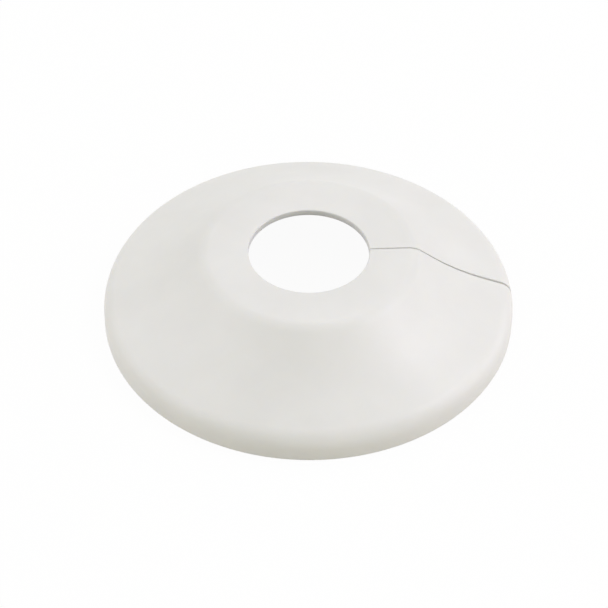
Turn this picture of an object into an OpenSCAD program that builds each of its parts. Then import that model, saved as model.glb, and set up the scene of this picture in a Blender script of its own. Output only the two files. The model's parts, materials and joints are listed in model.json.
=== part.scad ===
// Split pipe escutcheon: a one-piece moulded plastic plate that hides the rough hole round a pipe.
// The dome is one wall of even thickness. It is cut through once, from the bore to the rim, and
// thinned from behind on the other side of the bore, so that it opens and closes round the pipe.
// Z is the pipe's axis, the back of the plate lies on z = 0, and the slit runs along +X.

/* [Plate] */
// Outside diameter of the plate
plate_d = 76.2; // [72:0.1:110]
// Height from the back of the plate to its flat top
plate_h = 15.2; // [13:0.1:20]
// Thickness of the moulded wall
wall = 1.3; // [0.9:0.05:2.2]

/* [Bore] */
// Diameter of the hole for the pipe
bore_d = 22.2; // [12:0.1:30]
// Rounding of the bore's front edge
bore_edge_r = 0.25; // [0.1:0.05:0.6]

/* [Top and shoulder] */
// Diameter at which the flat top and the cone would meet in a sharp corner
shoulder_d = 39.2; // [37:0.1:44]
// Outside rounding of the shoulder
shoulder_r = 4; // [2.5:0.1:7]

/* [Cone and brim] */
// Diameter at which the cone and the brim would meet in a sharp corner
knee_d = 54.6; // [51:0.1:58]
// Height of that corner above the back
knee_h = 9.2; // [8:0.1:10.4]
// Radius of the hollow sweep between cone and brim
sweep_r = 40; // [10:1:60]

/* [Rim] */
// Outside rounding of the rim
rim_r = 3.6; // [2.5:0.1:5]
// Height of the upright skirt below that rounding
skirt_h = 2.4; // [1:0.1:3.5]
// Rounding of the skirt's outer edge at the back
foot_edge_r = 0.3; // [0.1:0.05:0.6]

/* [Slit and flex line] */
// Width of the slit at the bore
slit_w = 0.2; // [0.1:0.05:1]
// Width of the slit at the rim, where it gapes a little
slit_rim_w = 0.55; // [0.1:0.05:1.2]
// Wall left at the flex line, on the other side of the bore from the slit
flex_wall = 0.6; // [0.3:0.05:0.8]
// Width of the groove behind the flex line
flex_w = 1.6; // [0.8:0.1:3]

/* [Hidden] */
$fn = 180;

// How far a cut runs past the face that it breaks through
overrun = 1;
// How far the end of a sloping line is tucked inside the arc that it meets, so that no sliver is left
tuck = 0.001;
// Share of the shorter straight that the sweep may use up
sweep_share = 0.95;

plate_r = plate_d / 2;
bore_r = bore_d / 2;

// Corners of the outside before they are rounded, and the centre of the rim's rounding
shoulder = [shoulder_d / 2, plate_h];
knee = [knee_d / 2, knee_h];
rim_centre = [plate_r - rim_r, skirt_h];

// Slope of the cone, and of the brim, whose line runs from the knee to touch the rim's rounding
cone_line = knee - shoulder;
cone_slope = atan2(-cone_line.y, cone_line.x);
knee_to_rim = rim_centre - knee;
brim_slope = atan2(-knee_to_rim.y, knee_to_rim.x) - asin(rim_r / norm(knee_to_rim));

// Unit vectors square to each slope, pointing out of the plate
cone_out = [sin(cone_slope), cos(cone_slope)];
brim_out = [sin(brim_slope), cos(brim_slope)];

// The shoulder's rounding takes this much of the cone's length, and of the flat top's
shoulder_run = shoulder_r * tan(cone_slope / 2);
shoulder_centre = [shoulder.x - shoulder_run, plate_h - shoulder_r];

// The sweep's radius is the one asked for, or the largest that the two straights have room for
half_turn = (cone_slope - brim_slope) / 2;
cone_room = norm(cone_line) - shoulder_run;
brim_room = sqrt(pow(norm(knee_to_rim), 2) - pow(rim_r, 2));
sweep_fit_r = min(sweep_r, sweep_share * min(cone_room, brim_room) / tan(half_turn));
sweep_centre = knee + sweep_fit_r / cos(half_turn) * (cone_out + brim_out) / norm(cone_out + brim_out);

// Half section of all that lies deeper than inset below the outside, run out past the back
module under_skin(inset) {
    difference() {
        union() {
            polygon([
                [0, -overrun],
                [plate_r - inset, -overrun],
                [plate_r - inset, skirt_h],
                rim_centre + (rim_r - inset - tuck) * brim_out,
                sweep_centre - (sweep_fit_r + inset - tuck) * brim_out,
                sweep_centre - (sweep_fit_r + inset - tuck) * cone_out,
                shoulder_centre + (shoulder_r - inset - tuck) * cone_out,
                [shoulder_centre.x, plate_h - inset],
                [0, plate_h - inset]
            ]);
            translate(rim_centre) circle(r = rim_r - inset);
            translate(shoulder_centre) circle(r = shoulder_r - inset);
        }
        translate(sweep_centre) circle(r = sweep_fit_r + inset);
    }
}

// What rounding a square corner takes away, with the corner at the origin and its solid at +X, -Y
module corner_waste(r) {
    difference() {
        translate([-overrun, -r]) square(r + overrun);
        translate([r, -r]) circle(r = r);
    }
}

// Half section of the plate's wall, with the bore's front edge and the foot's outer edge rounded
module wall_section() {
    difference() {
        under_skin(0);
        under_skin(wall);
        translate([0, -rim_r]) square([plate_r + overrun, rim_r]);
        translate([0, -overrun]) square([bore_r, plate_h + 2 * overrun]);
        translate([bore_r, plate_h]) corner_waste(bore_edge_r);
        translate([plate_r, 0]) rotate(180) corner_waste(foot_edge_r);
    }
}

// The cut that lets the plate open, through the wall from the bore to the rim, wider as it goes
module slit() {
    half_spread = (slit_rim_w - slit_w) / 2 / (plate_r - bore_r);
    near_half = slit_w / 2 - half_spread * overrun;
    far_half = slit_rim_w / 2 + half_spread * overrun;
    translate([0, 0, -overrun])
        linear_extrude(plate_h + 2 * overrun)
            polygon([
                [bore_r - overrun, -near_half],
                [plate_r + overrun, -far_half],
                [plate_r + overrun, far_half],
                [bore_r - overrun, near_half]
            ]);
}

// Groove in the back, opposite the slit, that follows the dome and leaves flex_wall to bend
module flex_groove() {
    intersection() {
        rotate_extrude() under_skin(flex_wall);
        translate([-plate_r, -flex_w / 2, -overrun])
            cube([plate_r, flex_w, plate_h + overrun]);
    }
}

module split_plate() {
    color("whitesmoke")
    difference() {
        rotate_extrude() wall_section();
        slit();
        flex_groove();
    }
}

split_plate();
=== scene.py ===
# Looks of a split pipe escutcheon: one white moulded plate, seen as in the photograph.
import json
from math import asin, atan, atan2, ceil, cos, pi, radians, sin, tan

import bmesh
import bpy
from mathutils import Matrix, Quaternion, Vector


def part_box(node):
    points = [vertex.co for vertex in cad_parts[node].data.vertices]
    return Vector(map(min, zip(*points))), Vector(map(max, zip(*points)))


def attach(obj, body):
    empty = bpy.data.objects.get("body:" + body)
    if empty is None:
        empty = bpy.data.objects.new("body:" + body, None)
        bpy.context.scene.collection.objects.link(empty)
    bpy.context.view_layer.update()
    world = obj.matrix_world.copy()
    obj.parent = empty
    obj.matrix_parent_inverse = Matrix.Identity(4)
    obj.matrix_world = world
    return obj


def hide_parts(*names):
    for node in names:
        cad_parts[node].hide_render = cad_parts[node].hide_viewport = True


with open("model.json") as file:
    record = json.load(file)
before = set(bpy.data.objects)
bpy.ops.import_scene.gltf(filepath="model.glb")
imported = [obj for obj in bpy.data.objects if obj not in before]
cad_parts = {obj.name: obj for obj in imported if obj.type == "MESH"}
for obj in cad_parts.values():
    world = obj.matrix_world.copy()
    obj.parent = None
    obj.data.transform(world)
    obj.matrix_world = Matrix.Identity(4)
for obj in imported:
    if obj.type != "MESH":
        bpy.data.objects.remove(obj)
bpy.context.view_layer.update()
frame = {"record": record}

MM = 0.001

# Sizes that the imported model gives
plate_low, plate_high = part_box("split_plate")
bore = next(mount for mount in frame["record"]["mounts"] if mount["name"] == "pipe_bore")
plate_r = plate_high.y
plate_h = plate_high.z
bore_r = bore["dims"]["r_mm"] * MM

# Sizes of the dome, as in the part's source. Shoulder and knee are the sharp corners that the flat top,
# the cone and the brim would meet in, before the shoulder is rounded and the knee becomes a hollow sweep.
WALL = 1.3 * MM
SHOULDER_D = 39.2 * MM
SHOULDER_R = 4 * MM
KNEE_D = 54.6 * MM
KNEE_H = 9.2 * MM
SWEEP_R = 40 * MM
RIM_R = 3.6 * MM
SKIRT_H = 2.4 * MM
BORE_EDGE_R = 0.25 * MM
FOOT_EDGE_R = 0.3 * MM
SLIT_W = 0.2 * MM
SLIT_RIM_W = 0.55 * MM
FLEX_WALL = 0.6 * MM
FLEX_W = 1.6 * MM

# Fine finish that only the visible plate has
BACK_EDGE_R = 0.15 * MM
SLIT_EDGE_R = 0.08 * MM
FLEX_ROOT_R = 0.3 * MM
PIN_MARK_R = 2.0 * MM
PIN_MARK_DEPTH = 0.08 * MM
PIN_MARKS = 4

# How finely curves are drawn
ARC_STEP = radians(4)
EDGE_STEP = radians(18)
TURN_STEPS = 240
SOFT_EDGE_STEPS = 3
PIN_MARK_SIDES = 48

# How near two points count as one, from what angle the edge of a cutter is rounded, and up to what
# angle an edge is shaded smooth
SAME_POINT = MM / 1000
SHARP_CORNER = radians(60)
SMOOTH_BELOW = radians(35)

# The plastic: its darkest and lightest white, its smoothest and roughest gloss, and its relief
DARK_WHITE = (0.770, 0.765, 0.755)
LIGHT_WHITE = (0.810, 0.805, 0.795)
SMOOTHEST = 0.33
ROUGHEST = 0.39
GRAIN_DEPTH = 0.02 * MM
WAVE_DEPTH = 0.08 * MM

# Sizes of the patterns on it, as the number of their spots in a metre
CLOUD_SCALE = 60.0
SCUFF_SCALE = 180.0
GRAIN_SCALE = 3500.0
WAVE_SCALE = 120.0

# Most values of a noise lie between these two
NOISE_LOW = 0.3
NOISE_HIGH = 0.7

# The camera of the photograph, found from the outline, the bore and the slit in its 608 x 608 frame
PHOTO_SIZE = 608
SENSOR = 36.0
FOCAL_PX = 2284.6
CAMERA_DISTANCE = 428.8 * MM
CAMERA_ELEVATION = radians(44.037)
CAMERA_TURN = radians(2.962)
CAMERA_YAW = radians(0.110)
CAMERA_PITCH = radians(0.151)
CAMERA_ROLL = radians(0.411)
CAMERA_NEAREST = 10 * MM

# The studio: white paper below, white walls all round and soft lamps. Paper and walls have one colour as
# they are seen, directly or in gloss, and another one in the light that they throw on the plate.
FLOOR_SIZE = 4
PAPER_SEEN = (0.96, 0.96, 0.96)
PAPER_BOUNCE = (0.60, 0.57, 0.48)
PAPER_GLOW = 0.95
WALL_SEEN = (1, 1, 1)
WALL_LIGHT = (0.596, 0.612, 0.537)
LAMP_LIGHT = (0.92, 0.865, 1.0)
LAMP_DISTANCE = 1.0

# How far apart nodes are laid out in the node editor
NODE_COLUMN = 220
NODE_ROW = 260


def at(radius, height):
    """A point of the half section, which lies in the XZ plane."""
    return Vector((radius, 0, height))


def out_of(slope):
    """Unit vector out of a surface that falls away from the axis at this slope."""
    return at(sin(slope), cos(slope))


# Corners, slopes and arc centres of the dome's outside
shoulder = at(SHOULDER_D / 2, plate_h)
knee = at(KNEE_D / 2, KNEE_H)
rim_centre = at(plate_r - RIM_R, SKIRT_H)
knee_to_rim = rim_centre - knee
cone_slope = atan2(shoulder.z - knee.z, knee.x - shoulder.x)
brim_slope = atan2(-knee_to_rim.z, knee_to_rim.x) - asin(RIM_R / knee_to_rim.length)
half_turn = (cone_slope - brim_slope) / 2
cone_out = out_of(cone_slope)
brim_out = out_of(brim_slope)
shoulder_centre = at(shoulder.x - SHOULDER_R * tan(cone_slope / 2), plate_h - SHOULDER_R)
sweep_centre = knee + (cone_out + brim_out).normalized() * SWEEP_R / cos(half_turn)


def select_only(*pieces):
    """Leave edit mode and select these objects alone, the last of them active."""
    if bpy.context.object and bpy.context.object.mode != "OBJECT":
        bpy.ops.object.mode_set(mode="OBJECT")
    bpy.ops.object.select_all(action="DESELECT")
    for piece in pieces:
        piece.select_set(True)
        bpy.context.view_layer.objects.active = piece


def pick_vertices(piece, test):
    """In edit mode, select the vertices whose place passes the test, and what lies between them."""
    bpy.ops.mesh.select_all(action="DESELECT")
    mesh = bmesh.from_edit_mesh(piece.data)
    for vertex in mesh.verts:
        vertex.select = test(vertex.co)
    mesh.select_flush(True)
    bmesh.update_edit_mesh(piece.data)


class Outline:
    """A closed outline drawn in the XZ plane, one line or arc after another, left in edit mode."""

    def __init__(self, name, start):
        """Start with one point, which is a tiny plane merged at its centre."""
        select_only()
        bpy.ops.mesh.primitive_plane_add(size=MM)
        self.piece = bpy.context.object
        self.piece.name = self.piece.data.name = name
        bpy.ops.object.mode_set(mode="EDIT")
        bpy.ops.mesh.select_all(action="SELECT")
        bpy.ops.mesh.merge(type="CENTER")
        bpy.ops.transform.translate(value=start)
        self.here = start

    def line_to(self, point):
        """Draw a straight line on to the point."""
        bpy.ops.mesh.extrude_region_move(TRANSFORM_OT_translate={"value": point - self.here})
        self.here = point

    def arc(self, centre, turn, step=ARC_STEP):
        """Draw an arc about the centre, clockwise as seen with the axis on the left and up above."""
        bpy.ops.mesh.spin(steps=ceil(abs(turn) / step), angle=turn, center=centre, axis=(0, -1, 0))
        self.here = centre + Matrix.Rotation(turn, 3, "Y") @ (self.here - centre)

    def close(self):
        """Join the last point to the first, where they meet, and leave the whole outline selected."""
        bpy.ops.mesh.select_all(action="SELECT")
        bpy.ops.mesh.remove_doubles(threshold=SAME_POINT)


def draw_skin_outwards(outline, inset):
    """From the flat top to the skirt, at a depth below the dome's outside."""
    outline.line_to(at(shoulder_centre.x, plate_h - inset))
    outline.arc(shoulder_centre, cone_slope)
    outline.line_to(sweep_centre - (SWEEP_R + inset) * cone_out)
    outline.arc(sweep_centre, -2 * half_turn)
    outline.line_to(rim_centre + (RIM_R - inset) * brim_out)
    outline.arc(rim_centre, pi / 2 - brim_slope)


def draw_skin_inwards(outline, inset):
    """From the skirt to the flat top, at a depth below the dome's outside."""
    outline.line_to(at(plate_r - inset, SKIRT_H))
    outline.arc(rim_centre, brim_slope - pi / 2)
    outline.line_to(sweep_centre - (SWEEP_R + inset) * brim_out)
    outline.arc(sweep_centre, 2 * half_turn)
    outline.line_to(shoulder_centre + (SHOULDER_R - inset) * cone_out)
    outline.arc(shoulder_centre, -cone_slope)


def draw_wall_section():
    """Half section of the wall, every corner rounded, from the back of the bore round to it again."""
    back = plate_h - WALL
    outline = Outline("moulded_plate", at(bore_r, back + BACK_EDGE_R))
    outline.line_to(at(bore_r, plate_h - BORE_EDGE_R))
    outline.arc(at(bore_r + BORE_EDGE_R, plate_h - BORE_EDGE_R), pi / 2, EDGE_STEP)
    draw_skin_outwards(outline, 0)
    outline.line_to(at(plate_r, FOOT_EDGE_R))
    outline.arc(at(plate_r - FOOT_EDGE_R, FOOT_EDGE_R), pi / 2, EDGE_STEP)
    outline.line_to(at(plate_r - WALL + BACK_EDGE_R, 0))
    outline.arc(at(plate_r - WALL + BACK_EDGE_R, BACK_EDGE_R), pi / 2, EDGE_STEP)
    draw_skin_inwards(outline, WALL)
    outline.line_to(at(bore_r + BACK_EDGE_R, back))
    outline.arc(at(bore_r + BACK_EDGE_R, back + BACK_EDGE_R), pi / 2, EDGE_STEP)
    outline.close()
    return outline.piece


def open_slit(piece):
    """Spin the section once round, turn its two ends apart, cap them and soften the slit's edges.

    The slit's two walls run out from one apex, at the same slope on either side of the slit's middle.
    """
    spread = (SLIT_RIM_W - SLIT_W) / 2 / (plate_r - bore_r)
    apex = at(bore_r - SLIT_W / 2 / spread, 0)

    def on_first_end(place):
        return place.x > 0 and abs(place.y) < SAME_POINT

    def on_slit_wall(place):
        return place.x > 0 and abs(abs(place.y) - (place - apex).x * spread) < SAME_POINT

    # The spin leaves its last end selected
    bpy.ops.mesh.spin(
        steps=TURN_STEPS, angle=2 * pi, center=(0, 0, 0), axis=(0, 0, 1), use_auto_merge=False)
    bpy.ops.transform.rotate(value=-atan(spread), orient_axis="Z", center_override=apex)
    bpy.ops.mesh.edge_face_add()
    pick_vertices(piece, on_first_end)
    bpy.ops.transform.rotate(value=atan(spread), orient_axis="Z", center_override=apex)
    bpy.ops.mesh.edge_face_add()
    bpy.ops.mesh.select_all(action="SELECT")
    bpy.ops.mesh.normals_make_consistent(inside=False)
    pick_vertices(piece, on_slit_wall)
    bpy.ops.mesh.region_to_loop()
    bpy.ops.mesh.bevel(offset=SLIT_EDGE_R, segments=SOFT_EDGE_STEPS, affect="EDGES")


def cut_away(piece, cutter):
    """Take the cutter's shape out of the piece."""
    select_only(piece)
    cut = piece.modifiers.new("cut", "BOOLEAN")
    cut.operation = "DIFFERENCE"
    cut.solver = "EXACT"
    cut.object = cutter
    bpy.ops.object.modifier_apply(modifier=cut.name)
    bpy.data.objects.remove(cutter)


def flex_groove_cutter():
    """A bar that lies under the dome opposite the slit, with its top FLEX_WALL below the outside."""
    below = -2 * MM
    outline = Outline("flex_groove", at(bore_r / 2, below))
    outline.line_to(at(bore_r / 2, plate_h - FLEX_WALL))
    draw_skin_outwards(outline, FLEX_WALL)
    outline.line_to(at(plate_r - FLEX_WALL, below))
    outline.close()
    bpy.ops.mesh.edge_face_add()
    bpy.ops.transform.translate(value=(0, -FLEX_W / 2, 0))
    bpy.ops.mesh.extrude_region_move(TRANSFORM_OT_translate={"value": (0, FLEX_W, 0)})
    bpy.ops.mesh.select_all(action="SELECT")
    bpy.ops.mesh.normals_make_consistent(inside=False)
    bpy.ops.transform.rotate(value=pi, orient_axis="Z", center_override=(0, 0, 0))
    bpy.ops.mesh.select_all(action="DESELECT")
    bpy.ops.mesh.select_mode(type="EDGE")
    bpy.ops.mesh.edges_select_sharp(sharpness=SHARP_CORNER)
    bpy.ops.mesh.bevel(offset=FLEX_ROOT_R, segments=SOFT_EDGE_STEPS, affect="EDGES")
    bpy.ops.mesh.select_mode(type="VERT")
    return outline.piece


def pin_mark_cutter(angle):
    """A cylinder for one shallow round mark, as an ejector pin leaves it on the back of the flat top."""
    radius = (bore_r + shoulder_centre.x) / 2
    deep = plate_h - WALL + PIN_MARK_DEPTH
    tall = 2 * MM
    select_only()
    bpy.ops.mesh.primitive_cylinder_add(
        vertices=PIN_MARK_SIDES, radius=PIN_MARK_R, depth=tall,
        location=(radius * cos(angle), radius * sin(angle), deep - tall / 2))
    return bpy.context.object


def make_plate():
    """The whole plate: the slit dome, with the groove and the pin marks cut into its back."""
    plate = draw_wall_section()
    open_slit(plate)
    cut_away(plate, flex_groove_cutter())
    for mark in range(PIN_MARKS):
        cut_away(plate, pin_mark_cutter((mark + 0.5) * 2 * pi / PIN_MARKS))
    select_only(plate)
    bpy.ops.object.mode_set(mode="EDIT")
    bpy.ops.mesh.select_all(action="SELECT")
    bpy.ops.mesh.remove_doubles(threshold=SAME_POINT)
    bpy.ops.object.mode_set(mode="OBJECT")
    bpy.ops.object.shade_smooth_by_angle(angle=SMOOTH_BELOW)
    return plate


def add_node(tree, kind, place, **inputs):
    """A shader node with some of its inputs set. Its place is a column and a row of the node editor."""
    column, row = place
    node = tree.nodes.new(kind)
    node.location = (column * NODE_COLUMN, -row * NODE_ROW)
    for name, value in inputs.items():
        node.inputs[name.replace("_", " ")].default_value = value
    return node


def satin_white_plastic():
    """White moulded plastic, faintly warm: satin, with a fine grain and soft, shallow waves."""
    material = bpy.data.materials.new("satin_white_plastic")
    material.use_nodes = True
    tree = material.node_tree
    link = tree.links.new
    shader = tree.nodes["Principled BSDF"]
    shader.inputs["IOR"].default_value = 1.49
    shader.inputs["Subsurface Weight"].default_value = 0.25
    shader.inputs["Subsurface Radius"].default_value = (1.0, 0.85, 0.6)
    shader.inputs["Subsurface Scale"].default_value = 1.2 * MM

    place = add_node(tree, "ShaderNodeTexCoord", (-6, 0)).outputs["Object"]

    # Wide, faint clouds in the white
    cloud = add_node(tree, "ShaderNodeTexNoise", (-5, 0), Scale=CLOUD_SCALE, Detail=4.0, Roughness=0.6)
    tone = add_node(tree, "ShaderNodeValToRGB", (-3, 0))
    dark, light = tone.color_ramp.elements
    dark.position = NOISE_LOW
    dark.color = (*DARK_WHITE, 1)
    light.position = NOISE_HIGH
    light.color = (*LIGHT_WHITE, 1)
    link(place, cloud.inputs["Vector"])
    link(cloud.outputs["Fac"], tone.inputs["Fac"])
    link(tone.outputs["Color"], shader.inputs["Base Color"])

    # Small patches where the gloss is a little smoother or rougher
    scuff = add_node(tree, "ShaderNodeTexNoise", (-5, 1), Scale=SCUFF_SCALE, Detail=6.0, Roughness=0.65)
    gloss = add_node(tree, "ShaderNodeMapRange", (-3, 1),
                     From_Min=NOISE_LOW, From_Max=NOISE_HIGH, To_Min=SMOOTHEST, To_Max=ROUGHEST)
    link(place, scuff.inputs["Vector"])
    link(scuff.outputs["Fac"], gloss.inputs["Value"])
    link(gloss.outputs["Result"], shader.inputs["Roughness"])

    # The mould's fine grain, and the soft waves of the cooled plastic
    grain = add_node(tree, "ShaderNodeTexNoise", (-5, 2), Scale=GRAIN_SCALE, Detail=2.0)
    wave = add_node(tree, "ShaderNodeTexNoise", (-5, 3), Scale=WAVE_SCALE, Detail=1.0)
    grain_bump = add_node(tree, "ShaderNodeBump", (-2, 2), Strength=0.08, Distance=GRAIN_DEPTH)
    wave_bump = add_node(tree, "ShaderNodeBump", (-1, 3), Strength=0.25, Distance=WAVE_DEPTH)
    link(place, grain.inputs["Vector"])
    link(place, wave.inputs["Vector"])
    link(grain.outputs["Fac"], grain_bump.inputs["Height"])
    link(wave.outputs["Fac"], wave_bump.inputs["Height"])
    link(grain_bump.outputs["Normal"], wave_bump.inputs["Normal"])
    link(wave_bump.outputs["Normal"], shader.inputs["Normal"])
    return material


def seen_directly(tree, place):
    """1 for rays from the camera and for what gloss or glass shows, and 0 for the light on the object."""
    column, row = place
    path = add_node(tree, "ShaderNodeLightPath", place)
    seen = path.outputs["Is Camera Ray"]
    for step, kind in enumerate(("Is Glossy Ray", "Is Transmission Ray"), start=1):
        either = add_node(tree, "ShaderNodeMath", (column + step, row))
        either.operation = "MAXIMUM"
        tree.links.new(seen, either.inputs[0])
        tree.links.new(path.outputs[kind], either.inputs[1])
        seen = either.outputs[0]
    return seen


def white_paper():
    """White paper that partly glows where it is seen, so that the plate's shadow on it stays faint."""
    material = bpy.data.materials.new("white_paper")
    material.use_nodes = True
    tree = material.node_tree
    tree.nodes.clear()
    link = tree.links.new
    seen = seen_directly(tree, (-5, 0))

    colour = add_node(tree, "ShaderNodeMix", (-2, 1))
    colour.data_type = "RGBA"
    colour.inputs["A"].default_value = (*PAPER_BOUNCE, 1)
    colour.inputs["B"].default_value = (*PAPER_SEEN, 1)
    paper = add_node(tree, "ShaderNodeBsdfDiffuse", (-1, 1))
    link(seen, colour.inputs["Factor"])
    link(colour.outputs["Result"], paper.inputs["Color"])

    # How much of what is seen is glow
    share = add_node(tree, "ShaderNodeMath", (-2, 0))
    share.operation = "MULTIPLY"
    share.inputs[1].default_value = PAPER_GLOW
    glow = add_node(tree, "ShaderNodeEmission", (-1, 2), Strength=1.0)
    mix = add_node(tree, "ShaderNodeMixShader", (0, 0))
    output = add_node(tree, "ShaderNodeOutputMaterial", (1, 0))
    link(seen, share.inputs[0])
    link(share.outputs[0], mix.inputs["Fac"])
    link(paper.outputs["BSDF"], mix.inputs[1])
    link(glow.outputs["Emission"], mix.inputs[2])
    link(mix.outputs["Shader"], output.inputs["Surface"])
    return material


def lay_floor():
    """A wide sheet of the white paper, at the height of the plate's back."""
    select_only()
    bpy.ops.mesh.primitive_plane_add(size=FLOOR_SIZE, location=(0, 0, plate_low.z))
    floor = bpy.context.object
    floor.name = "floor"
    floor.data.materials.append(white_paper())


def soft_box(name, azimuth, elevation, width, height, watts, roll=0):
    """A lamp that faces the plate, with its angles in degrees.

    Its azimuth turns from +X towards +Y, and roll turns the lamp on its own axis.
    """
    light = bpy.data.lights.new(name, "AREA")
    light.shape = "RECTANGLE"
    light.size = width
    light.size_y = height
    light.energy = watts
    light.color = LAMP_LIGHT
    lamp = bpy.data.objects.new(name, light)
    bpy.context.scene.collection.objects.link(lamp)
    turn = radians(azimuth)
    lift = radians(elevation)
    place = LAMP_DISTANCE * Vector((cos(lift) * cos(turn), cos(lift) * sin(turn), sin(lift)))
    facing = (-place).to_track_quat("-Z", "Y")
    lamp.location = place
    lamp.rotation_euler = (facing @ Quaternion((0, 0, 1), radians(roll))).to_euler()


def light_the_scene():
    """White walls all round, two soft lamps on the right and one each on the left, behind and in front."""
    world = bpy.data.worlds.new("studio")
    bpy.context.scene.world = world
    world.use_nodes = True
    tree = world.node_tree
    background = tree.nodes["Background"]
    walls = add_node(tree, "ShaderNodeMix", (-1, 1))
    walls.data_type = "RGBA"
    walls.inputs["A"].default_value = (*WALL_LIGHT, 1)
    walls.inputs["B"].default_value = (*WALL_SEEN, 1)
    tree.links.new(seen_directly(tree, (-4, 1)), walls.inputs["Factor"])
    tree.links.new(walls.outputs["Result"], background.inputs["Color"])
    soft_box("right_high_lamp", azimuth=-5, elevation=46, width=0.62, height=0.32, watts=2.4, roll=28)
    soft_box("right_low_lamp", azimuth=0, elevation=12, width=1.0, height=0.5, watts=2.6)
    soft_box("left_lamp", azimuth=179, elevation=27, width=1.2, height=1.2, watts=3.8)
    soft_box("back_lamp", azimuth=75, elevation=58, width=0.5, height=0.5, watts=1.1)
    soft_box("front_lamp", azimuth=-90, elevation=8, width=0.8, height=0.25, watts=0.43)


def place_camera():
    """The photograph's camera: it orbits the middle of the plate's back, and its aim is turned a little."""
    data = bpy.data.cameras.new("camera")
    data.sensor_width = SENSOR
    data.lens = FOCAL_PX / PHOTO_SIZE * SENSOR
    data.clip_start = CAMERA_NEAREST
    camera = bpy.data.objects.new("camera", data)
    bpy.context.scene.collection.objects.link(camera)
    orbit = Matrix.Rotation(-CAMERA_TURN, 4, "Z") @ Matrix.Rotation(pi / 2 - CAMERA_ELEVATION, 4, "X")
    aim = Matrix.Rotation(CAMERA_YAW, 4, "Y") @ Matrix.Rotation(CAMERA_PITCH, 4, "X")
    roll = Matrix.Rotation(CAMERA_ROLL, 4, "Z")
    camera.matrix_world = orbit @ Matrix.Translation((0, 0, CAMERA_DISTANCE)) @ aim @ roll
    bpy.context.scene.camera = camera


place_camera()
plate = make_plate()
plate.data.materials.clear()
plate.data.materials.append(satin_white_plastic())
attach(plate, "root")
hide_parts("split_plate")
lay_floor()
light_the_scene()
bpy.context.scene.view_settings.view_transform = "Standard"
